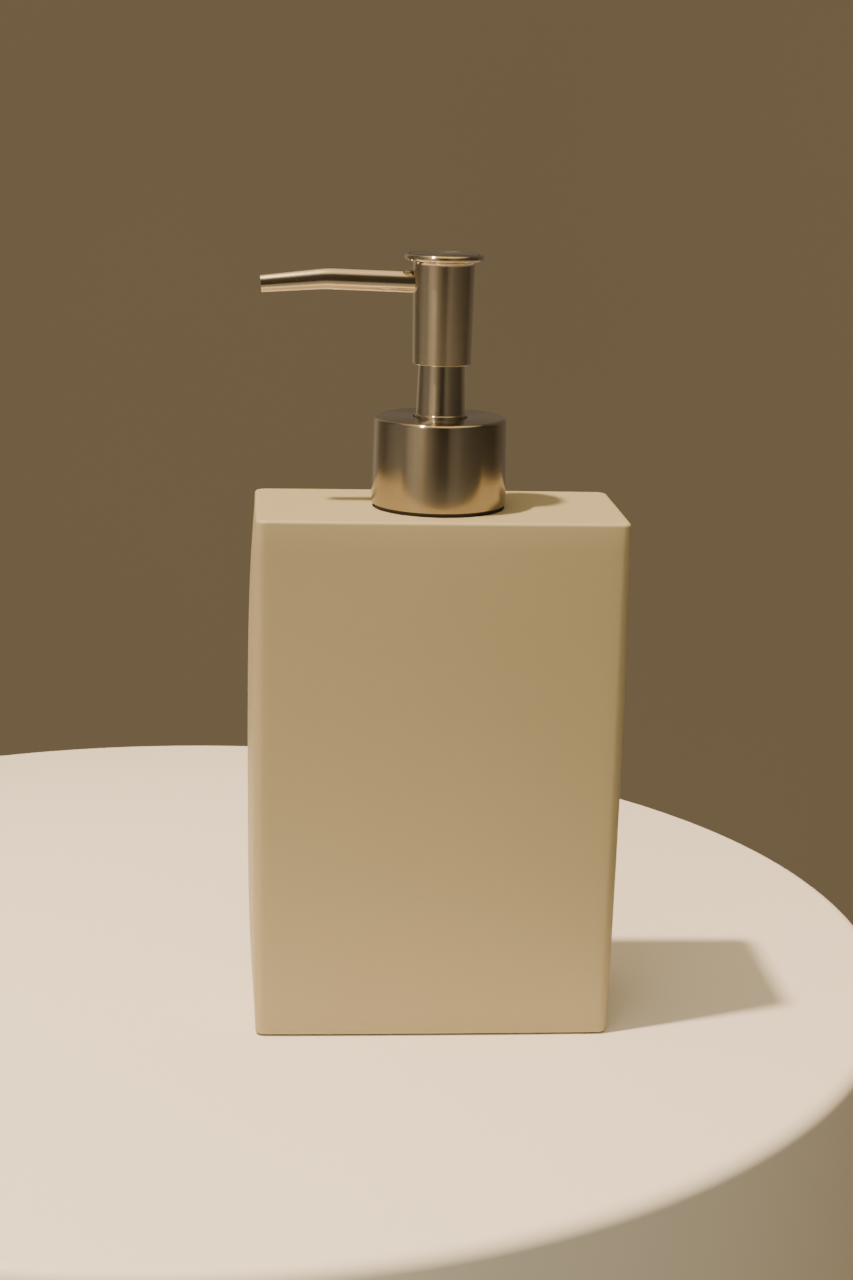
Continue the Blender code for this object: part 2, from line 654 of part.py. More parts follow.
def make_head_shell():
    flare_z = head_top_z - 2 * RIM_ROUND - HEAD_FLARE
    inner, inner_top = head_radius - HEAD_WALL, head_top_radius - HEAD_WALL
    seat_z = head_top_z - CAP_THICKNESS - FIT
    rim_inner = rim_radius - RIM_ROUND - FIT
    rim = arc(rim_radius - RIM_ROUND, head_top_z - RIM_ROUND, RIM_ROUND, 90, -90, 8)
    flare = arc(head_top_radius + HEAD_FLARE, flare_z, HEAD_FLARE, 90, 180, 4)
    lip = arc(head_radius - HEAD_WALL / 2, head_z + HEAD_WALL / 2, HEAD_WALL / 2, 0, -180, 4)
    outline = [(rim_inner, head_top_z), *rim, *flare, *lip]
    outline += [(inner_top, seat_z), (rim_inner, seat_z)]
    shell = turned("head_shell", outline, steel, head_frame)
    hole = rod_mesh(
        "spout_hole", SPOUT_RADIUS + FIT, (-2 * head_radius, 0, spout_z), (-inner / 2, 0, spout_z)
    )
    combine(shell, add_tool("spout_hole", hole, head_frame), "DIFFERENCE")


def make_head_cap():
    disc = rim_radius - RIM_ROUND - 2 * FIT
    plug = head_top_radius - HEAD_WALL - FIT
    low = head_top_z - CAP_PLUG_DEPTH
    disc_z = head_top_z - CAP_THICKNESS
    outline = [(0.0, head_top_z), (disc, head_top_z), (disc, disc_z), (plug, disc_z)]
    outline += [(plug, low), (0.0, low)]
    turned("head_cap", outline, steel, head_frame, ROUND_STEPS, closed=False)


# ---- the assembly ----
parts, cutters = start_scene()

cast_resin = finish_material("cast_resin", (0.52, 0.43, 0.31), 0.55)
base_resin = finish_material("base_resin", (0.48, 0.40, 0.29), 0.65)
pad_foam = finish_material("pad_foam", (0.05, 0.05, 0.05), 0.90)
black_plastic = finish_material("black_plastic", (0.02, 0.02, 0.02), 0.40)
white_plastic = finish_material("white_plastic", (0.80, 0.80, 0.78), 0.45)
clear_plastic = finish_material("clear_plastic", (0.75, 0.78, 0.78), 0.30)
soft_plastic = finish_material("soft_plastic", (0.70, 0.72, 0.74), 0.50)
soft_rubber = finish_material("soft_rubber", (0.06, 0.06, 0.06), 0.80)
steel = finish_material("steel", (0.62, 0.58, 0.53), 0.28, 1.0)
polished_steel = finish_material("polished_steel", (0.70, 0.70, 0.70), 0.10, 1.0)
spring_steel = finish_material("spring_steel", (0.55, 0.55, 0.56), 0.25, 1.0)

bottle_frame = place_empty("bottle_frame", 0.0)
pump_frame = place_empty("pump_frame", body_top, bottle_frame)
closure_frame = place_empty("closure_frame", 0.0, pump_frame)
plunger_frame = place_empty("plunger_frame", 0.0, pump_frame)
inlet_frame = place_empty("inlet_frame", 0.0, pump_frame)
head_frame = place_empty("head_frame", 0.0, plunger_frame)
outlet_frame = place_empty("outlet_frame", 0.0, head_frame)

make_bottle_body()
make_base()
make_neck_insert()
make_closure_liner()
make_collar_shell()
make_pump_housing()
make_gasket()
make_guide_cap()
make_neck_sleeve()
make_valve_and_tube()
make_spring()
make_piston()
make_stem()
make_spout()
make_head_core()
make_head_shell()
make_head_cap()
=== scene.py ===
import math

import bpy
from mathutils import Euler, Matrix, Vector


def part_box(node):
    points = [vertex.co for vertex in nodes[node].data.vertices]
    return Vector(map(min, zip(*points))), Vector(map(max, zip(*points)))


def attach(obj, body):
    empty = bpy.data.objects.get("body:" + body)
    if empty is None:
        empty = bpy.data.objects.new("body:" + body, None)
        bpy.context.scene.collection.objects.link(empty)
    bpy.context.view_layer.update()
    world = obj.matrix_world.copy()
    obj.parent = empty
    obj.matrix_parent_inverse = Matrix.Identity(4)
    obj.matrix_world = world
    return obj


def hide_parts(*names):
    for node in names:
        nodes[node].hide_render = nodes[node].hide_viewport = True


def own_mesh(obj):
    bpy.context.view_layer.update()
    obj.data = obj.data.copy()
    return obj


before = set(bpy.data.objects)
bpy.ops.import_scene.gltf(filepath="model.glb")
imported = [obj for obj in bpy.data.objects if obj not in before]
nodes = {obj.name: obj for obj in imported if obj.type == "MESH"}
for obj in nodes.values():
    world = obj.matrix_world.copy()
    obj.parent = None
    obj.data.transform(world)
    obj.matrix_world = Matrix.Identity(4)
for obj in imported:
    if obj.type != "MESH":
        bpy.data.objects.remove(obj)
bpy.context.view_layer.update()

# ---- Camera ----
# A short telephoto lens just over half a metre away, a little to the left of the dispenser and above it.
# It looks down on the bottle and leans slightly to one side.
LENS = 66.4
SENSOR_WIDTH = 36.0
NEAREST_SEEN = 0.01
CAMERA_PLACE = (-0.0460, -0.5546, 0.2279)
LOOK_DOWN = math.radians(13.58)
LOOK_RIGHT = math.radians(4.54)
LEAN = math.radians(1.41)

camera_data = bpy.data.cameras.new("camera")
camera_data.lens = LENS
camera_data.sensor_width = SENSOR_WIDTH
camera_data.clip_start = NEAREST_SEEN
camera = bpy.data.objects.new("camera", camera_data)
bpy.context.scene.collection.objects.link(camera)
camera_look = Euler((math.pi / 2 - LOOK_DOWN, 0.0, -LOOK_RIGHT)).to_matrix()
camera_turn = camera_look @ Matrix.Rotation(LEAN, 3, "Z")
camera.matrix_world = Matrix.Translation(CAMERA_PLACE) @ camera_turn.to_4x4()
bpy.context.scene.camera = camera

# ---- Floor, lamps and room ----
# The dispenser stands on a plain pale round floor under a small warm spot lamp, high up on the left.
# A soft lamp fills in from the front. The room around is brown, and brighter overhead and below.
FLOOR_RADIUS = 0.185
FLOOR_SIDES = 160
FLOOR_CENTRE = (-0.060, 0.048)
FLOOR_THICKNESS = 0.120
FLOOR_EDGE = 0.004
FLOOR_EDGE_STEPS = 6
FLOOR_COLOUR = (0.85, 0.79, 0.73)
FLOOR_CLOUD = (0.83, 0.77, 0.71)
FLOOR_ROUGHNESS = 0.6
BACKDROP_RADIUS = 3.5
BACKDROP_COLOUR = (0.175, 0.125, 0.066)
BACKDROP_DARKER = 0.9
KEY_PLACE = (-0.47, -0.20, 1.46)
KEY_TARGET = (0.0, -0.02, 0.0)
KEY_WATTS = 200.0
KEY_SIZE = 0.035
KEY_CONE = math.radians(34)
KEY_CONE_BLEND = 0.9
KEY_COLOUR = (1.0, 0.755, 0.50)
FILL_PLACE = (-0.35, -1.1, 0.75)
FILL_TARGET = (0.0, 0.0, 0.06)
FILL_WATTS = 4.6
FILL_SIZE = 0.8
FILL_COLOUR = (0.95, 1.0, 0.72)
CEILING = (1.80, 1.36, 0.74)
CEILING_FROM = 0.74
CEILING_FADE = 0.20
COUNTER = (0.62, 0.48, 0.28)
COUNTER_TO = -0.44
COUNTER_FADE = 0.12
ROOM_STRENGTH = 1.0
SMOOTH_ANGLE = math.radians(32)


class Value:
    """A number on its way through a material. Arithmetic on it adds Math nodes."""

    def __init__(self, tree, socket):
        self.tree = tree
        self.socket = socket

    def math(self, operation, *others):
        node = self.tree.nodes.new("ShaderNodeMath")
        node.operation = operation
        for slot, value in zip(node.inputs, others):
            if isinstance(value, Value):
                self.tree.links.new(value.socket, slot)
            else:
                slot.default_value = value
        return Value(self.tree, node.outputs[0])

    def __add__(self, other):
        return self.math("ADD", self, other)

    def __mul__(self, other):
        return self.math("MULTIPLY", self, other)

    def __sub__(self, other):
        return self.math("SUBTRACT", self, other)

    def __rsub__(self, other):
        return self.math("SUBTRACT", other, self)

    def root(self):
        return self.math("SQRT", self)

    def above(self, edge, softness):
        """0 below edge, rising to 1 over softness."""
        node = self.tree.nodes.new("ShaderNodeMapRange")
        node.inputs["From Min"].default_value = edge
        node.inputs["From Max"].default_value = edge + softness
        self.tree.links.new(self.socket, node.inputs["Value"])
        return Value(self.tree, node.outputs[0])


def opaque(colour):
    """Adds the fourth number to a plain colour. A colour that comes out of a node stays as it is."""
    return colour if isinstance(colour, Value) else (*colour, 1.0)


class Finish:
    """A material, or the room's light, being built out of nodes."""

    def __init__(self, name, holder=None):
        self.data = holder or bpy.data.materials.new(name)
        self.data.use_nodes = True
        self.tree = self.data.node_tree
        self.shader = self.tree.nodes.get("Principled BSDF") or self.tree.nodes.get("Background")

    def node(self, kind, settings=None, inputs=None, output=0):
        """Adds a node: its settings first, then the values or links of its sockets."""
        node = self.tree.nodes.new("ShaderNode" + kind)
        for key, value in (settings or {}).items():
            if key == "stops":
                self.set_stops(node.color_ramp, value)
            else:
                setattr(node, key, value)
        self.fill(node, inputs or {})
        return Value(self.tree, node.outputs[output])

    def set_stops(self, ramp, stops):
        while len(ramp.elements) < len(stops):
            ramp.elements.new(1.0)
        for element, (place, colour) in zip(ramp.elements, stops):
            element.position = place
            element.color = opaque(colour)

    def fill(self, node, inputs):
        for key, value in inputs.items():
            if isinstance(value, Value):
                self.tree.links.new(value.socket, node.inputs[key])
            else:
                node.inputs[key].default_value = value

    def place(self):
        """The point's place on the object, in metres."""
        return self.node("TexCoord", output="Object")

    def axes(self, place):
        return [self.node("SeparateXYZ", {}, {"Vector": place}, i) for i in range(3)]

    def stretched(self, place, scale):
        return self.node("Mapping", {}, {"Vector": place, "Scale": scale})

    def noise(self, place, scale, detail=2.0, roughness=0.5):
        inputs = {"Vector": place, "Scale": scale, "Detail": detail, "Roughness": roughness}
        return self.node("TexNoise", {}, inputs)

    def mix(self, share, first, second):
        inputs = {0: share, 6: opaque(first), 7: opaque(second)}
        return self.node("Mix", {"data_type": "RGBA"}, inputs, 2)

    def bump(self, height, distance):
        return self.node("Bump", {}, {"Height": height, "Distance": distance, "Strength": 1.0})

    def finish(self, **inputs):
        """Sets the shader's sockets, each named in words such as base_color, and gives the material."""
        sockets = {}
        for key, value in inputs.items():
            sockets[key.replace("_", " ").title().replace("Ior", "IOR")] = value
        self.fill(self.shader, sockets)
        return self.data


def lone(name):
    """Gives the object that an operator has just made its name."""
    piece = bpy.context.object
    piece.name = name
    piece.data.name = name
    return piece


def settle(piece):
    """Moves a piece's place, turn and scale into its mesh."""
    bpy.ops.object.select_all(action="DESELECT")
    piece.select_set(True)
    bpy.context.view_layer.objects.active = piece
    bpy.ops.object.transform_apply(location=True, rotation=True, scale=True)


def round_edges(piece, width, segments=3):
    """Rounds the sharp edges of a piece and shades it smooth."""
    bevel = piece.modifiers.new("edges", "BEVEL")
    bevel.width = width
    bevel.segments = segments
    bevel.limit_method = "ANGLE"
    bevel.angle_limit = SMOOTH_ANGLE
    bpy.context.view_layer.objects.active = piece
    bpy.ops.object.modifier_apply(modifier=bevel.name)
    bpy.ops.object.shade_smooth_by_angle(angle=SMOOTH_ANGLE)


bpy.ops.mesh.primitive_cylinder_add(
    vertices=FLOOR_SIDES, radius=FLOOR_RADIUS, depth=FLOOR_THICKNESS,
    location=(*FLOOR_CENTRE, -FLOOR_THICKNESS / 2),
)
floor = lone("floor")
settle(floor)
round_edges(floor, FLOOR_EDGE, FLOOR_EDGE_STEPS)
floor_finish = Finish("floor")
grain = floor_finish.noise(floor_finish.place(), 3.0, 3.0)
floor_tint = floor_finish.mix(grain, FLOOR_COLOUR, FLOOR_CLOUD)
floor.data.materials.append(floor_finish.finish(base_color=floor_tint, roughness=FLOOR_ROUGHNESS))

bpy.ops.object.select_all(action="DESELECT")
bpy.ops.mesh.primitive_uv_sphere_add(segments=48, ring_count=24, radius=BACKDROP_RADIUS)
backdrop = lone("backdrop")
bpy.ops.object.shade_smooth()
backdrop_finish = Finish("backdrop")
drift = backdrop_finish.noise(backdrop_finish.place(), 0.8, 2.0)
backdrop_dark = tuple(BACKDROP_DARKER * c for c in BACKDROP_COLOUR)
backdrop_tint = backdrop_finish.mix(drift, BACKDROP_COLOUR, backdrop_dark)
backdrop.data.materials.append(backdrop_finish.finish(
    base_color=opaque((0.0, 0.0, 0.0)), specular_ior_level=0.0,
    emission_color=backdrop_tint, emission_strength=1.0,
))
backdrop.visible_glossy = False
backdrop.visible_diffuse = False
backdrop.visible_shadow = False

room = bpy.data.worlds.new("room")
bpy.context.scene.world = room
room_light = Finish("room", room)
direction = room_light.node("TexCoord", output="Generated")
around = room_light.node("TexGradient", {"gradient_type": "RADIAL"}, {"Vector": direction}, 1)


def toward(degrees_right):
    """Where a direction lies along the gradient: 0 is towards the camera, and more turns to its right."""
    return ((degrees_right + 90.0 - math.degrees(LOOK_RIGHT)) / 360.0) % 1.0


# What the steel mirrors on each side, as (direction, brightness, how brown it is).
SIDES = [
    (-165, 0.24, 0.5), (-146, 0.50, 0.4), (-124, 0.20, 0.6), (-108, 0.16, 0.6), (-92, 0.26, 0.15),
    (-74, 0.30, 0.2), (-62, 0.30, 0.2), (-54, 0.52, 0.3), (-42, 0.66, 0.3), (-30, 0.52, 0.7),
    (-20, 0.30, 0.6), (-10, 0.16, 0.5), (-1, 0.06, 0.5), (12, 0.05, 0.5), (20, 0.18, 0.4),
    (30, 0.22, 0.3), (42, 0.15, 0.5), (58, 0.105, 0.4), (80, 0.085, 0.5), (108, 0.075, 0.6),
    (124, 0.15, 0.5), (145, 0.19, 0.5), (165, 0.17, 0.5),
]
PALE_LIGHT = (1.0, 0.86, 0.66)
BROWN_LIGHT = (1.0, 0.74, 0.42)


def side_colour(bright, brown):
    """A light between the pale and the brown one, at a given brightness."""
    return tuple(bright * (p + (b - p) * brown) for p, b in zip(PALE_LIGHT, BROWN_LIGHT))


stops = sorted((toward(angle), side_colour(bright, brown)) for angle, bright, brown in SIDES)
walls = room_light.node("ValToRGB", {"stops": stops}, {"Fac": around})
height = room_light.axes(direction)[2]
upper_room = room_light.mix(height.above(CEILING_FROM, CEILING_FADE), walls, CEILING)
whole_room = room_light.mix(height.above(COUNTER_TO, COUNTER_FADE), COUNTER, upper_room)
room_light.finish(color=whole_room, strength=ROOM_STRENGTH)


def aim(lamp_object, place, target):
    """Puts a lamp in its place, facing the target."""
    lamp_object.location = place
    lamp_object.rotation_euler = (Vector(target) - Vector(place)).to_track_quat("-Z", "Y").to_euler()
    bpy.context.scene.collection.objects.link(lamp_object)


key = bpy.data.lights.new("key_lamp", "SPOT")
key.energy = KEY_WATTS
key.color = KEY_COLOUR
key.shadow_soft_size = KEY_SIZE
key.spot_size = KEY_CONE
key.spot_blend = KEY_CONE_BLEND
aim(bpy.data.objects.new("key_lamp", key), KEY_PLACE, KEY_TARGET)

fill = bpy.data.lights.new("fill_lamp", "AREA")
fill.shape = "DISK"
fill.size = FILL_SIZE
fill.energy = FILL_WATTS
fill.color = FILL_COLOUR
fill_lamp = bpy.data.objects.new("fill_lamp", fill)
fill_lamp.visible_glossy = False
aim(fill_lamp, FILL_PLACE, FILL_TARGET)

# ---- Bottle ----
# A hollow bottle cast in mineral-filled resin and painted a matte warm beige. Its four walls swell
# a little in the middle, its edges are rubbed round, and the neck hole is cast with a shallow seat.
CORNER_RADIUS = 0.0024
CORNER_POINTS = 8
LONG_SIDE_POINTS = 29
SHORT_SIDE_POINTS = 15
SIDE_SWELL = 0.0015
FACE_SWELL = 0.0005
FACE_EDGE_DRAW = 0.0003
END_DRAW = 0.0003
BASE_TAPER = 0.0008
TOP_EDGE_RADIUS = 0.0008
TOP_EDGE_LAND = 0.0004
RIM_EDGE_RADIUS = 0.0005
WALL = 0.0050
SIDE_RINGS = 22
EDGE_RINGS = 5
SEAT_RADIUS = 0.01574
SEAT_DEPTH = 0.0012
HOLE_RADIUS = 0.01421
TOP_WALL = 0.0070
REBATE_TOP = 0.0066
REBATE_WIDTH = 0.0015
SKIN_MARGIN = 0.0002
MERGE_DISTANCE = 0.000002
BOTTLE_SMOOTH_ANGLE = math.radians(40)
RESIN_LIGHT = (0.442, 0.376, 0.230)
RESIN_DARK = (0.424, 0.358, 0.220)
RESIN_GRIT = (0.39, 0.33, 0.20)
# The pits' colour is painted shade: the dark inside the pinholes and bubbles.
PIT_SHADE_COLOUR = (0.05, 0.03, 0.015)
CLOUDS_PER_METRE = 22.0
GRIT_PER_METRE = 1500.0
BUBBLES_PER_METRE = 110.0
PEEL_PER_METRE = 380.0
RESIN_RELIEF = 0.000015
# Each pinhole in the casting, as (x, y, z, size).
PINHOLES = [
    (-0.0409, -0.0223, 0.1257, 0.00022), (-0.0381, -0.0222, 0.12605, 0.00022),
    (-0.0378, -0.0224, 0.1251, 0.00015), (0.0312, -0.0226, 0.1119, 0.00013),
]


def edit():
    bpy.ops.object.mode_set(mode="EDIT")


def leave_edit():
    bpy.ops.object.mode_set(mode="OBJECT")


def pick(piece, wanted, kind="vertices"):
    """Selects the vertices, edges or faces for which wanted(item) holds, and nothing else."""
    leave_edit()
    for items in (piece.data.vertices, piece.data.edges, piece.data.polygons):
        items.foreach_set("select", [False] * len(items))
    for item in getattr(piece.data, kind):
        item.select = bool(wanted(item))
    edit()


def close_up(piece, smooth=SMOOTH_ANGLE):
    """Merges doubles, turns all faces outwards and shades the round ones smooth."""
    edit()
    bpy.ops.mesh.select_all(action="SELECT")
    bpy.ops.mesh.remove_doubles(threshold=MERGE_DISTANCE)
    bpy.ops.mesh.normals_make_consistent(inside=False)
    leave_edit()
    bpy.ops.object.shade_smooth_by_angle(angle=smooth)


def assemble(piece, body, slot, finish, *replaced):
    """Gives a piece its finish, the body that it moves with and the nodes that it stands for."""
    piece.data.materials.clear()
    piece.data.materials.append(finish)
    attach(piece, body)
    if replaced:
        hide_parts(*replaced)
    piece.select_set(False)


def extrude_ring(rise, scale_x=1.0, scale_y=1.0):
    """Extrudes the selected loop upwards and scales it about the upright axis."""
    bpy.ops.mesh.extrude_region_move(TRANSFORM_OT_translate={"value": (0.0, 0.0, rise)})
    bpy.ops.transform.resize(value=(scale_x, scale_y, 1.0), center_override=(0.0, 0.0, 0.0))


def climb(rings, half_x, half_y):
    """Extrudes the selected loop through rings of (height, inset)."""
    last_z, last_inset = rings[0]
    for z, inset in rings[1:]:
        scale_x = (half_x - inset) / (half_x - last_inset)
        scale_y = (half_y - inset) / (half_y - last_inset)
        extrude_ring(z - last_z, scale_x, scale_y)
        last_z, last_inset = z, inset


def bridge_ends():
    """Joins the two open loops of a piece with faces."""
    bpy.ops.mesh.select_all(action="DESELECT")
    bpy.ops.mesh.select_mode(type="EDGE")
    bpy.ops.mesh.select_non_manifold(extend=False, use_wire=False, use_non_contiguous=False)
    bpy.ops.mesh.bridge_edge_loops()
    bpy.ops.mesh.select_mode(type="VERT")


def angle_of(spot):
    return math.atan2(spot[1], spot[0])


def lay_ring(piece, spots):
    """Extrudes the selected loop and lays its points on the (x, y) spots, in turn around the axis."""
    bpy.ops.mesh.extrude_region_move(TRANSFORM_OT_translate={"value": (0.0, 0.0, 0.0)})
    leave_edit()
    ring = sorted((v for v in piece.data.vertices if v.select), key=lambda v: angle_of(v.co))
    for vertex, (x, y) in zip(ring, sorted(spots, key=angle_of)):
        vertex.co.x, vertex.co.y = x, y
    edit()


def quarter_round(low, radius, widening):
    """Heights and insets up a quarter round that widens from a foot, or narrows to a top."""
    steps = []
    for i in range(EDGE_RINGS + 1):
        turn = math.pi / 2 * i / EDGE_RINGS
        if widening:
            steps.append((low + radius * (1 - math.cos(turn)), radius * (1 - math.sin(turn))))
        else:
            steps.append((low + radius * math.sin(turn), radius * (1 - math.cos(turn))))
    return steps


bottle_low, bottle_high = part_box("bottle_body")
rim_z, top_z = bottle_low.z, bottle_high.z
half_x = bottle_high.x - SIDE_SWELL + BASE_TAPER / 2
half_y = bottle_high.y - FACE_SWELL
rings = quarter_round(rim_z, RIM_EDGE_RADIUS, True)
wall_low, wall_high = rim_z + RIM_EDGE_RADIUS, top_z - TOP_EDGE_RADIUS
rings += [(wall_low + (wall_high - wall_low) * i / SIDE_RINGS, 0.0) for i in range(1, SIDE_RINGS)]
rings += quarter_round(wall_high, TOP_EDGE_RADIUS, False)
rings += [(top_z, TOP_EDGE_RADIUS + TOP_EDGE_LAND)]
first_x, first_y = half_x - rings[0][1], half_y - rings[0][1]


def is_wall_edge(edge, axis):
    """Whether an edge of the first loop runs the length of a wall, along x (0) or y (1)."""
    a, b = (bottle.data.vertices[i].co for i in edge.vertices)
    return abs(a[axis] - b[axis]) > half_y


bpy.ops.object.select_all(action="DESELECT")
bpy.ops.mesh.primitive_plane_add(size=2.0, location=(0.0, 0.0, rings[0][0]))
bottle = lone("bottle_shell")
bottle.scale = (first_x, first_y, 1.0)
settle(bottle)
edit()
bpy.ops.mesh.select_all(action="SELECT")
bpy.ops.mesh.bevel(affect="VERTICES", offset=CORNER_RADIUS, segments=CORNER_POINTS)
bpy.ops.mesh.delete(type="ONLY_FACE")
for axis, cuts in ((0, LONG_SIDE_POINTS), (1, SHORT_SIDE_POINTS)):
    pick(bottle, lambda edge: is_wall_edge(edge, axis), "edges")
    bpy.ops.mesh.subdivide(number_cuts=cuts)
leave_edit()
outline = [(v.co.x, v.co.y) for v in bottle.data.vertices]
pick(bottle, lambda v: True)
climb(rings, half_x, half_y)
seat_shares = [SEAT_RADIUS / math.hypot(x, y) for x, y in outline]
lay_ring(bottle, [(x * share, y * share) for (x, y), share in zip(outline, seat_shares)])
extrude_ring(-SEAT_DEPTH)
hole_scale = HOLE_RADIUS / SEAT_RADIUS
extrude_ring(0.0, hole_scale, hole_scale)
extrude_ring(SEAT_DEPTH - TOP_WALL)
cavity_x, cavity_y = bottle_high.x - WALL, bottle_high.y - WALL
lay_ring(bottle, [(x * cavity_x / first_x, y * cavity_y / first_y) for x, y in outline])
inner_rings = [(top_z - TOP_WALL, 0.0), (REBATE_TOP, 0.0)]
inner_rings += [(REBATE_TOP, -REBATE_WIDTH), (rim_z, -REBATE_WIDTH)]
climb(inner_rings, cavity_x, cavity_y)
leave_edit()

# The outside of each wall swells, most in the middle, and draws in towards its edges and the foot.
inside_x = cavity_x + REBATE_WIDTH + SKIN_MARGIN
inside_y = cavity_y + REBATE_WIDTH + SKIN_MARGIN
for vertex in bottle.data.vertices:
    x, y, z = vertex.co
    if abs(x) < inside_x and abs(y) < inside_y and z < top_z - SKIN_MARGIN:
        continue
    level = 2 * (z - rim_z) / (top_z - rim_z) - 1
    dome = 1 - level ** 4
    across, along = min(abs(y) / half_y, 1.0), min(abs(x) / half_x, 1.0)
    side = SIDE_SWELL * dome * (1 - across ** 2) - END_DRAW * level ** 2 - BASE_TAPER * (1 - level) / 2
    face = FACE_SWELL * dome * (1 - along ** 2) - FACE_EDGE_DRAW * along ** 2
    vertex.co.x += side * along ** 6 * math.copysign(1.0, x)
    vertex.co.y += face * across ** 6 * math.copysign(1.0, y)
edit()
bridge_ends()
leave_edit()
close_up(bottle, BOTTLE_SMOOTH_ANGLE)

resin = Finish("painted_resin")
place = resin.place()
clouds = resin.noise(place, CLOUDS_PER_METRE, 3.0)
grit = resin.noise(place, GRIT_PER_METRE, 2.0, 0.6)
tone = resin.mix(clouds, RESIN_LIGHT, RESIN_DARK)
tone = resin.mix(grit.above(0.42, 0.3) * 0.22, tone, RESIN_GRIT)
chips = 0.0
for x, y, z, size in PINHOLES:
    near = resin.node("VectorMath", {"operation": "DISTANCE"}, {0: place, 1: (x, y, z)}, 1)
    chips = (1 - near.above(size * 0.6, size * 0.8)) + chips
cells = {"Vector": place, "Scale": BUBBLES_PER_METRE}
from_centre = resin.node("TexVoronoi", {}, cells)
cell_colour = resin.node("TexVoronoi", {}, cells, 1)
lot = resin.node("SeparateColor", {}, {"Color": cell_colour})
bubbles = (1 - from_centre.above(0.012, 0.010)) * lot.above(0.93, 0.01)
pits = chips + bubbles
# The pinholes and bubbles are painted near-black: painted shade inside the pits, which the bump also
# sinks.
tone = resin.mix(pits * 0.85, tone, PIT_SHADE_COLOUR)
peel = resin.noise(place, PEEL_PER_METRE, 2.0)
relief = peel * 0.6 + grit * 0.4 - pits * 2.0
sheen = resin.noise(place, 60.0, 3.0) * 0.10 + 0.40
bottle_finish = resin.finish(
    base_color=tone, roughness=sheen, normal=resin.bump(relief, RESIN_RELIEF), specular_ior_level=0.45
)
assemble(bottle, "bottle", "cast_resin", bottle_finish, "bottle_body")

# ---- Base plate and pad ----
# A resin plate glued into the bottle's open bottom closes it, and a thin foam pad stuck under it
# keeps the bottle from sliding and from scratching what it stands on.
PAD_CORNER = 0.004
PAD_CORNER_STEPS = 6
PAD_EDGE = 0.0002
PLATE_LIGHT = (0.50, 0.41, 0.29)
PLATE_DARK = (0.43, 0.35, 0.24)
PLATE_RELIEF = 0.00004
FOAM_DARK = (0.020, 0.020, 0.020)
FOAM_LIGHT = (0.050, 0.048, 0.045)
FOAM_CELLS_PER_METRE = 2200.0
FOAM_RELIEF = 0.0001
raw = Finish("raw_resin")
place = raw.place()
sand = raw.noise(place, 900.0, 3.0, 0.6)
nodes["base_plate"].data.materials[0] = raw.finish(
    base_color=raw.mix(sand, PLATE_LIGHT, PLATE_DARK),
    roughness=sand * 0.15 + 0.6, normal=raw.bump(sand, PLATE_RELIEF),
)

pad_low, pad_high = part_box("base_pad")
bpy.ops.object.select_all(action="DESELECT")
bpy.ops.mesh.primitive_plane_add(size=2.0, location=(0.0, 0.0, pad_low.z))
pad = lone("foot_pad")
pad.scale = (pad_high.x, pad_high.y, 1.0)
settle(pad)
edit()
bpy.ops.mesh.select_all(action="SELECT")
bpy.ops.mesh.bevel(affect="VERTICES", offset=PAD_CORNER, segments=PAD_CORNER_STEPS)
bpy.ops.mesh.extrude_region_move(TRANSFORM_OT_translate={"value": (0.0, 0.0, pad_high.z - pad_low.z)})
leave_edit()
close_up(pad)
round_edges(pad, PAD_EDGE)
foam = Finish("pad_foam")
place = foam.place()
cells = foam.node("TexVoronoi", {}, {"Vector": place, "Scale": FOAM_CELLS_PER_METRE})
foam_finish = foam.finish(
    base_color=foam.mix(cells, FOAM_DARK, FOAM_LIGHT),
    roughness=cells * 0.1 + 0.85, normal=foam.bump(cells, FOAM_RELIEF),
)
assemble(pad, "bottle", "pad_foam", foam_finish, "base_pad")

# ---- Neck insert ----
# The black threaded ring glued into the bottle's neck hole, moulded in plastic. Only the edge of its
# flange shows, in the gap under the collar. There its black is partly painted shade: it darkens the
# gap beyond the real shadow that falls under the collar.
MOULD_GRAIN_PER_METRE = 700.0
MOULD_RELIEF = 0.000012
BLACK_AND_GAP_SHADE = (0.010, 0.009, 0.008)
DUSTY_BLACK_AND_GAP_SHADE = (0.022, 0.020, 0.018)


def moulded(name, first, second, roughness, **more):
    """Moulded plastic or rubber: two close tones, a fine grain and a slightly uneven gloss."""
    plastic = Finish(name)
    place = plastic.place()
    fine = plastic.noise(place, MOULD_GRAIN_PER_METRE, 3.0, 0.6)
    broad = plastic.noise(place, 70.0, 2.0)
    return plastic.finish(
        base_color=plastic.mix(broad * 0.5 + fine * 0.5, first, second),
        roughness=fine * 0.12 + (roughness - 0.06), normal=plastic.bump(fine, MOULD_RELIEF), **more,
    )


# Its near-black is partly painted shade for the dark gap under the collar.
nodes["neck_insert"].data.materials[0] = moulded("black_plastic", BLACK_AND_GAP_SHADE, DUSTY_BLACK_AND_GAP_SHADE, 0.42)

# ---- Collar ----
# The cover of the screw closure, drawn from thin stainless sheet: fine brushing runs round its wall
# and its flat top, and the edge between them is rolled to a bright line.
TURN_SIDES = 128
COLLAR_TOP_HOLE = 0.00646
COLLAR_WALL = 0.0006
COLLAR_DRAFT = 0.0003
COLLAR_EDGE = 0.0010
COLLAR_LIP = 0.0002
COLLAR_CREASE = 0.00008
COLLAR_TINT = (0.45, 0.395, 0.305)
DARK_LINES = 0.86
ALONG_THE_LINES = 30.0


def arc(centre_r, centre_z, radius, start, end, pieces=6):
    """Points (radius, height) of an arc in a turned outline, between two angles in degrees."""
    points = []
    for i in range(pieces + 1):
        angle = math.radians(start + (end - start) * i / pieces)
        points.append((centre_r + radius * math.cos(angle), centre_z + radius * math.sin(angle)))
    return points


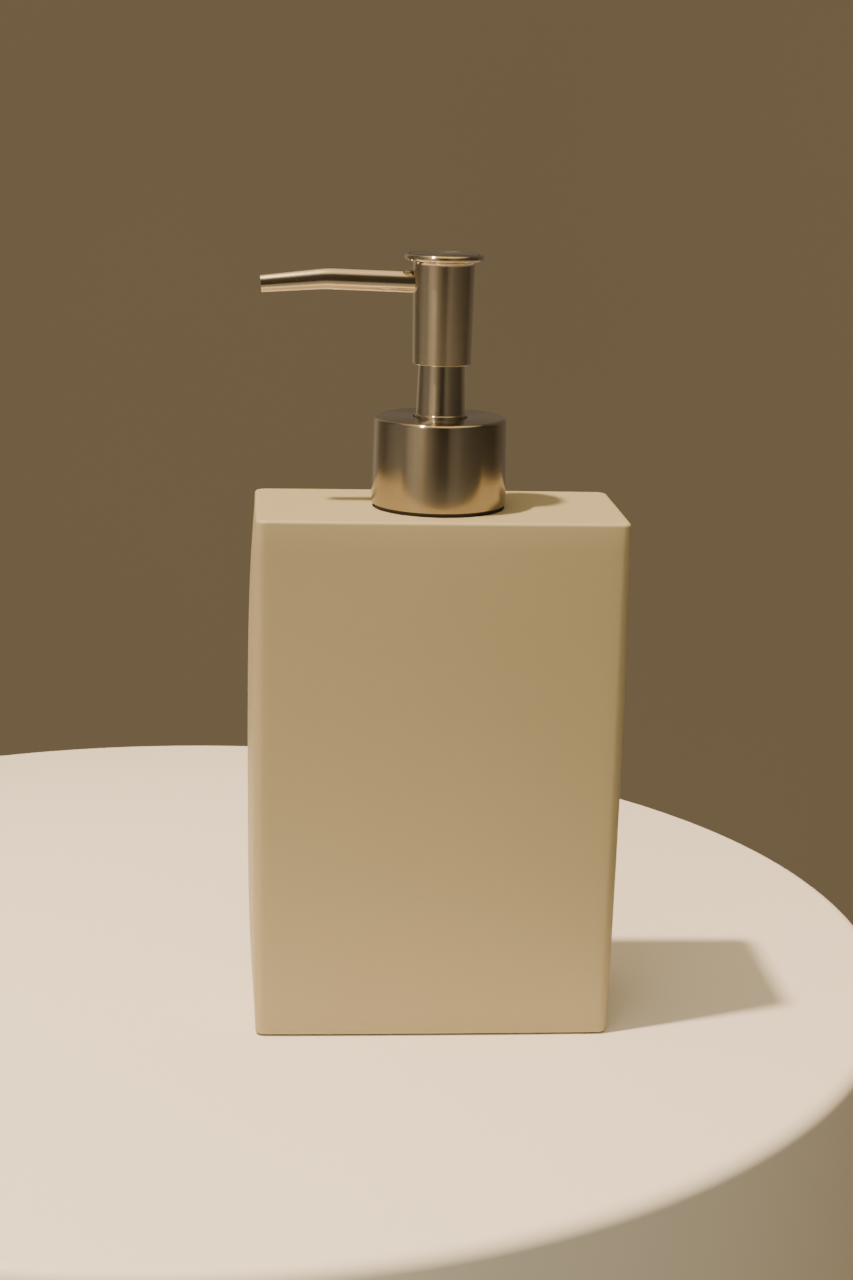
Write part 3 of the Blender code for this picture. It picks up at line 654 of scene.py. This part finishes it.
def turned(name, outline, sides=TURN_SIDES, edge=0.0):
    """A ring extruded and scaled through a closed outline of (radius, height), as a turned shape."""
    bpy.ops.object.select_all(action="DESELECT")
    first_r, last_z = outline[0]
    bpy.ops.mesh.primitive_circle_add(vertices=sides, radius=first_r, location=(0.0, 0.0, last_z))
    piece = lone(name)
    settle(piece)
    edit()
    bpy.ops.mesh.select_all(action="SELECT")
    last_r = first_r
    for r, z in outline[1:]:
        extrude_ring(z - last_z, r / last_r, r / last_r)
        last_r, last_z = r, z
    bridge_ends()
    leave_edit()
    close_up(piece)
    if edge:
        round_edges(piece, edge)
    return piece


def brushed_steel(name, tint, roughness, lines, depth, anisotropic=1.0):
    """Stainless steel with fine lines that run round the piece's upright axis."""
    steel = Finish(name)
    place = steel.place()
    x, y, z = steel.axes(place)
    out = (x * x + y * y).root()
    spread = {"X": x * ALONG_THE_LINES, "Y": y * ALONG_THE_LINES, "Z": (z + out) * lines}
    along = steel.node("CombineXYZ", {}, spread)
    fine = steel.noise(along, 1.0, 4.0, 0.7)
    broad = steel.noise(along, 0.13, 2.0)
    dark = tuple(c * DARK_LINES for c in tint)
    colour = steel.mix(fine * 0.6 + broad * 0.4, tint, dark)
    cloudy = steel.noise(place, 90.0, 2.0)
    rough = fine * 0.10 + cloudy * 0.05 + (roughness - 0.075)
    normal = steel.bump(fine, depth)
    return steel.finish(
        base_color=colour, metallic=1.0, roughness=rough, normal=normal,
        anisotropic=anisotropic, anisotropic_rotation=0.25,
    )


collar_low, collar_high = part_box("collar_shell")
collar_r = collar_high.x
collar_top_r = collar_r - COLLAR_DRAFT
outline = [(COLLAR_TOP_HOLE, collar_high.z)]
outline += arc(collar_top_r - COLLAR_EDGE, collar_high.z - COLLAR_EDGE, COLLAR_EDGE, 90, 0, 8)
outline += arc(collar_r - COLLAR_LIP, collar_low.z + COLLAR_LIP, COLLAR_LIP, 0, -90, 3)
outline += [(collar_r - COLLAR_WALL, collar_low.z)]
outline += [(collar_top_r - COLLAR_WALL, collar_high.z - COLLAR_WALL)]
outline += [(COLLAR_TOP_HOLE, collar_high.z - COLLAR_WALL)]
collar = turned("collar", outline, edge=COLLAR_CREASE)
collar_finish = brushed_steel("collar_steel", COLLAR_TINT, roughness=0.15, lines=3800.0, depth=0.0000006)
assemble(collar, "closure", "brushed_steel", collar_finish, "collar_shell")

# ---- Neck sleeve ----
# A thin steel tube pressed over the pump's guide, on which the head slides. It narrows a little
# towards the top, and a small flared foot closes the hole in the collar.
sleeve_low, sleeve_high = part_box("neck_sleeve")
SLEEVE_BORE = 0.0051
SLEEVE_TOP_RADIUS = 0.00542
SLEEVE_BASE_RADIUS = 0.00584
SLEEVE_SIDES = 96
SLEEVE_EDGE = 0.0001
SLEEVE_CREASE = 0.00005
FOOT_RISE = 0.0003
FOOT_FLARE = 0.0006
STEEL_TINT = (0.54, 0.475, 0.375)
foot_r = sleeve_high.x
foot_z = collar_high.z + FOOT_RISE
flare_z = foot_z + FOOT_FLARE
outline = [(SLEEVE_TOP_RADIUS - SLEEVE_EDGE, sleeve_high.z)]
outline += [(SLEEVE_TOP_RADIUS, sleeve_high.z - SLEEVE_EDGE), (SLEEVE_BASE_RADIUS, flare_z)]
outline += arc(foot_r, flare_z, foot_r - SLEEVE_BASE_RADIUS, 180, 265, 5)[1:]
outline += [(foot_r, foot_z + SLEEVE_EDGE), (foot_r, sleeve_low.z), (SLEEVE_BORE, sleeve_low.z)]
outline += [(SLEEVE_BORE, sleeve_high.z)]
sleeve = turned("sleeve", outline, SLEEVE_SIDES, SLEEVE_CREASE)
sleeve_finish = brushed_steel("sleeve_steel", STEEL_TINT, roughness=0.16, lines=5200.0, depth=0.0000008)
assemble(sleeve, "pump_unit", "brushed_steel", sleeve_finish, "neck_sleeve")

# ---- Head ----
# The actuator's drawn steel shell: a cup that widens a little upwards and is flared out at the top
# into a rolled rim. The spout runs into its side.
head_low, head_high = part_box("head_shell")
rim_r = head_high.x
RIM_ROUND = 0.0008
RIM_OVERHANG = 0.00208
HEAD_DRAFT = 0.00035
HEAD_WALL = 0.0005
HEAD_FLARE = 0.0010
CAP_SEAT = 0.0009
RIM_LEDGE = 0.0003
RIM_LEDGE_DEPTH = 0.0001
head_top_r = rim_r - RIM_OVERHANG
head_r = head_top_r - HEAD_DRAFT
roll_z = head_high.z - RIM_ROUND
seat_z = head_high.z - CAP_SEAT
ledge_r = rim_r - RIM_ROUND - RIM_LEDGE
outline = [(ledge_r, head_high.z - RIM_LEDGE_DEPTH)]
outline += arc(rim_r - RIM_ROUND, roll_z, RIM_ROUND, 90, -90, 14)
outline += arc(head_top_r + HEAD_FLARE, roll_z - RIM_ROUND - HEAD_FLARE, HEAD_FLARE, 90, 180, 8)
outline += arc(head_r - HEAD_WALL / 2, head_low.z + HEAD_WALL / 2, HEAD_WALL / 2, 0, -180, 8)
outline += [(head_top_r - HEAD_WALL, seat_z), (ledge_r, seat_z)]
head = turned("head", outline)
head_finish = brushed_steel("head_steel", STEEL_TINT, roughness=0.17, lines=5200.0, depth=0.0000008)
assemble(head, "head", "brushed_steel", head_finish, "head_shell")

# ---- Cap ----
# A flat steel disc pressed into the rim closes the head; a finger pushes on it.
CAP_CENTRE_HOLE = 0.0004
CAP_PLATE = 0.0006
CAP_EDGE = 0.0003
CAP_EDGE_DROP = 0.00015
CAP_PLUG_GAP = 0.0003
CAP_TINT = (0.40, 0.35, 0.265)
cap_low, cap_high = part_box("head_cap")
plate_z = cap_high.z - CAP_PLATE
plug_r = head_top_r - HEAD_WALL - CAP_PLUG_GAP
outline = [(CAP_CENTRE_HOLE, cap_high.z), (cap_high.x - CAP_EDGE, cap_high.z)]
outline += [(cap_high.x, cap_high.z - CAP_EDGE_DROP), (cap_high.x, plate_z), (plug_r, plate_z)]
outline += [(plug_r, cap_low.z), (CAP_CENTRE_HOLE, cap_low.z)]
cap = turned("cap", outline)
cap_finish = brushed_steel(
    "cap_steel", CAP_TINT, roughness=0.20, lines=4200.0, depth=0.0000006, anisotropic=0.6
)
assemble(cap, "head", "brushed_steel", cap_finish, "head_cap")

# ---- Spout ----
# A steel tube, polished by hand, that leaves the head rising slightly, dips towards its narrower
# tip and is cut square there. Its two ends are closed with a thin disc of the same steel.
SPOUT_RADIUS = 0.0026
SPOUT_TIP_RADIUS = 0.0021
SPOUT_WALL = 0.0004
SPOUT_REACH = 0.0427
SPOUT_BEND_AT = 0.0275
SPOUT_BEND_RADIUS = 0.0250
SPOUT_RISE = math.radians(1.3)
SPOUT_DROP = math.radians(5.4)
SPOUT_TO_TOP = 0.0067
SPOUT_BEND_STEPS = 12
SPOUT_END_STEP = 0.001
SPOUT_SIDES_LEVEL = 14
SPOUT_EDGE = 0.00012
SPOUT_LIGHT = (0.55, 0.48, 0.38)
SPOUT_DARK = (0.48, 0.415, 0.32)
SPOUT_STROKES = (40.0, 1800.0, 1800.0)
spout_z = head_high.z - SPOUT_TO_TOP
root_x = -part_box("spout_tube")[1].x


def spout_line(start_x):
    """Points along the spout's middle and how far each is down its taper."""
    turn_all = SPOUT_RISE + SPOUT_DROP
    bend_x = SPOUT_BEND_AT - SPOUT_BEND_RADIUS * math.tan(turn_all / 2)
    climbing = math.tan(SPOUT_RISE)
    straight = (start_x, start_x + SPOUT_END_STEP, bend_x - SPOUT_END_STEP)
    spots = [(x, spout_z + (x - start_x) * climbing) for x in straight]
    centre_x = bend_x + SPOUT_BEND_RADIUS * math.sin(SPOUT_RISE)
    centre_z = spout_z + (bend_x - start_x) * climbing - SPOUT_BEND_RADIUS * math.cos(SPOUT_RISE)
    for i in range(SPOUT_BEND_STEPS + 1):
        lean = turn_all * i / SPOUT_BEND_STEPS - SPOUT_RISE
        x = centre_x + SPOUT_BEND_RADIUS * math.sin(lean)
        spots.append((x, centre_z + SPOUT_BEND_RADIUS * math.cos(lean)))
    last_x, last_z = spots[-1]
    for share in (0.5, 0.97, 1.0):
        x = last_x + (SPOUT_REACH - last_x) * share
        spots.append((x, last_z - (x - last_x) * math.tan(SPOUT_DROP)))
    shares = [min(max((x - bend_x) / (SPOUT_REACH - bend_x), 0.0), 1.0) for x, _ in spots]
    return [(-x, 0.0, z) for x, z in spots], shares


def bent_bar(name, points, radii, sides_level):
    """A round bar along points, drawn as a curve with a bevel and then made a mesh."""
    curve = bpy.data.curves.new(name, "CURVE")
    curve.dimensions = "3D"
    curve.bevel_depth = 1.0
    curve.bevel_resolution = sides_level
    curve.use_fill_caps = True
    spline = curve.splines.new("POLY")
    spline.points.add(len(points) - 1)
    for spot, point, radius in zip(spline.points, points, radii):
        spot.co = (*point, 1.0)
        spot.radius = radius
    bar = bpy.data.objects.new(name, curve)
    bpy.context.scene.collection.objects.link(bar)
    bpy.ops.object.select_all(action="DESELECT")
    bar.select_set(True)
    bpy.context.view_layer.objects.active = bar
    bpy.ops.object.convert(target="MESH")
    return lone(name)


points, shares = spout_line(root_x)
taper = SPOUT_RADIUS - SPOUT_TIP_RADIUS
radii = [SPOUT_RADIUS - taper * share for share in shares]
spout = bent_bar("spout", points, radii, SPOUT_SIDES_LEVEL)
close_up(spout)
wall = spout.modifiers.new("wall", "SOLIDIFY")
wall.thickness = SPOUT_WALL
wall.offset = -1.0
bpy.ops.object.modifier_apply(modifier=wall.name)
round_edges(spout, SPOUT_EDGE)

polished = Finish("spout_steel")
place = polished.place()
strokes = polished.stretched(place, SPOUT_STROKES)
fine = polished.noise(strokes, 1.0, 3.0, 0.6)
colour = polished.mix(fine, SPOUT_LIGHT, SPOUT_DARK)
smudge = polished.noise(place, 160.0, 3.0)
spout_finish = polished.finish(
    base_color=colour, metallic=1.0, roughness=fine * 0.05 + smudge * 0.05 + 0.15,
    normal=polished.bump(fine, 0.0000005),
)
assemble(spout, "head", "brushed_steel", spout_finish, "spout_tube")

# ---- Spout liner ----
# A white plastic tube inside the spout, which carries the soap.
WHITE = (0.72, 0.70, 0.66)
PALE_WHITE = (0.80, 0.78, 0.74)
white_finish = moulded("white_plastic", WHITE, PALE_WHITE, 0.42)
nodes["spout_liner"].data.materials[0] = white_finish

# ---- Plastic parts inside ----
# The liner of the closure, the pump's guide, its stem, the head's core and the ball's cage are
# moulded in the same white plastic, and the gasket under the pump's flange is black rubber.
RUBBER = (0.03, 0.03, 0.03)
DUSTY_RUBBER = (0.05, 0.05, 0.05)
for name in ("closure_liner", "guide_cap", "stem", "head_core", "ball_retainer"):
    nodes[name].data.materials[0] = white_finish
nodes["neck_gasket"].data.materials[0] = moulded("gasket_rubber", RUBBER, DUSTY_RUBBER, 0.75)

# ---- Pump housing and dip tube ----
# The pump's cylinder and the tube that reaches down into the soap, in clear plastic.
CLEAR = (0.80, 0.83, 0.83)
PALE_CLEAR = (0.86, 0.88, 0.88)
clear_finish = moulded("clear_plastic", CLEAR, PALE_CLEAR, 0.20, transmission_weight=0.7, ior=1.49)
for name in ("pump_housing", "dip_tube"):
    nodes[name].data.materials[0] = clear_finish

# ---- Piston ----
# The pump's sliding seal, moulded in soft grey-white plastic with a thin lip at each end.
SOFT_GREY = (0.60, 0.62, 0.64)
PALE_GREY = (0.68, 0.70, 0.72)
nodes["piston"].data.materials[0] = moulded("soft_plastic", SOFT_GREY, PALE_GREY, 0.50)

# ---- Valve balls ----
# Two ground steel balls, one in the foot of the pump's cylinder and one under the head.
BALL_LIGHT = (0.66, 0.65, 0.63)
BALL_DARK = (0.58, 0.57, 0.55)
ball_steel = Finish("ball_steel")
place = ball_steel.place()
scuff = ball_steel.noise(place, 1800.0, 2.0)
ball_finish = ball_steel.finish(
    base_color=ball_steel.mix(scuff, BALL_LIGHT, BALL_DARK),
    metallic=1.0, roughness=scuff * 0.08 + 0.06, normal=ball_steel.bump(scuff, 0.000001),
)
for name in ("inlet_ball", "outlet_ball"):
    nodes[name].data.materials[0] = ball_finish

# ---- Spring ----
# The return spring, cold-wound from hard steel wire, with its end turns closed. It stands on the
# ball's cage in the housing. The real spring shortens as the head goes down, but this one keeps its
# length.
WIRE_RADIUS = 0.00045
WIRE_LIGHT = (0.52, 0.50, 0.47)
WIRE_DARK = (0.40, 0.38, 0.36)
WIRE_SIDES_LEVEL = 3
SPRING_TURNS = 8
SPRING_END_TURNS = 0.75
SPRING_END_RISE = 0.08
STEPS_PER_TURN = 28

spring_low, spring_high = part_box("pump_spring")
coil_r = spring_high.x - WIRE_RADIUS
foot_z, head_z = spring_low.z + WIRE_RADIUS, spring_high.z - WIRE_RADIUS
total = SPRING_TURNS * STEPS_PER_TURN
closed_share = SPRING_END_TURNS / SPRING_TURNS
coil = []
for i in range(total + 1):
    share = i / total
    if share < closed_share:
        rise = SPRING_END_RISE * share / closed_share
    elif share > 1 - closed_share:
        rise = 1 - SPRING_END_RISE * (1 - share) / closed_share
    else:
        open_share = (share - closed_share) / (1 - 2 * closed_share)
        rise = SPRING_END_RISE + (1 - 2 * SPRING_END_RISE) * open_share
    turn = 2 * math.pi * SPRING_TURNS * share
    coil.append((coil_r * math.cos(turn), coil_r * math.sin(turn), foot_z + (head_z - foot_z) * rise))
spring = bent_bar("return_spring", coil, [WIRE_RADIUS] * len(coil), WIRE_SIDES_LEVEL)
close_up(spring)
wire = Finish("spring_wire")
place = wire.place()
drawn = wire.noise(place, 2500.0, 2.0)
spring_finish = wire.finish(
    base_color=wire.mix(drawn, WIRE_LIGHT, WIRE_DARK),
    metallic=1.0, roughness=drawn * 0.12 + 0.22, normal=wire.bump(drawn, 0.000002),
)
assemble(spring, "pump_unit", "spring_steel", spring_finish, "pump_spring")
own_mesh(spring)
